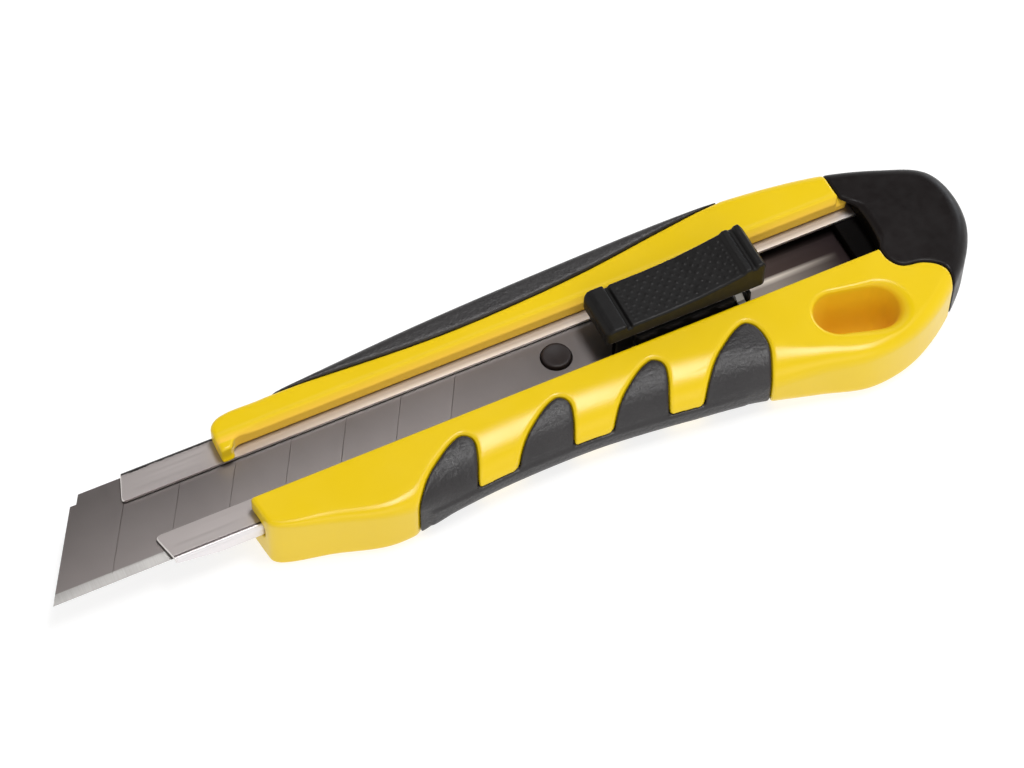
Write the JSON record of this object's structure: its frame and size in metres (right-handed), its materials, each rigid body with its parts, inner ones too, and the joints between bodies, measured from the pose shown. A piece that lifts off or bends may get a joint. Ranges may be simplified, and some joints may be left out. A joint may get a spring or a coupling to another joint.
{
  "type": "utility knife",
  "caption": "Snap-off utility knife: moulded handle with soft grips around a steel channel, a scored slanted blade on a sprung locking slider, a hanging hole and a pull-off tail cap.",
  "frame": {"origin": "under the middle of the knife's box with the blade as stored, on the handle's flat rear face", "axes": "+X from the blade's tip to the tail, +Y to the spine, +Z out of the front face where the slider is"},
  "size_m": [0.171, 0.0404, 0.0188],
  "materials": {
    "handle_plastic": "smooth, half gloss",
    "soft_grip": "matte, very fine grain",
    "black_plastic": "satin with a fine spark texture",
    "channel_steel": "bright, brushed along the strip",
    "blade_steel": "ground, darker than the channel, with a brighter bevel",
    "spring_steel": "bright"
  },
  "bodies": {
    "handle": {"handle_body": "handle_plastic", "spine_grip": "soft_grip", "finger_grip": "soft_grip", "blade_channel": "channel_steel"},
    "slider": {"blade_carrier": "black_plastic", "blade": "blade_steel", "lock_spring": "spring_steel"},
    "button": {"thumb_pad": "black_plastic"},
    "cap": {"tail_cap": "black_plastic"}
  },
  "joints": [
    {"name": "blade_slide", "type": "slide", "parent": "handle", "child": "slider", "axis": [1, 0, 0], "range_m": [-0.055, 0.02]},
    {"name": "button_press", "type": "slide", "parent": "slider", "child": "button", "axis": [0, 0, -1], "range_m": [0, 0.001], "stiffness_N_per_m": 600, "springref_m": -0.002, "deforming": ["lock_spring"]},
    {"name": "cap_pull", "type": "slide", "parent": "handle", "child": "cap", "axis": [1, 0, 0], "range_m": [0, 0.02]}
  ]
}
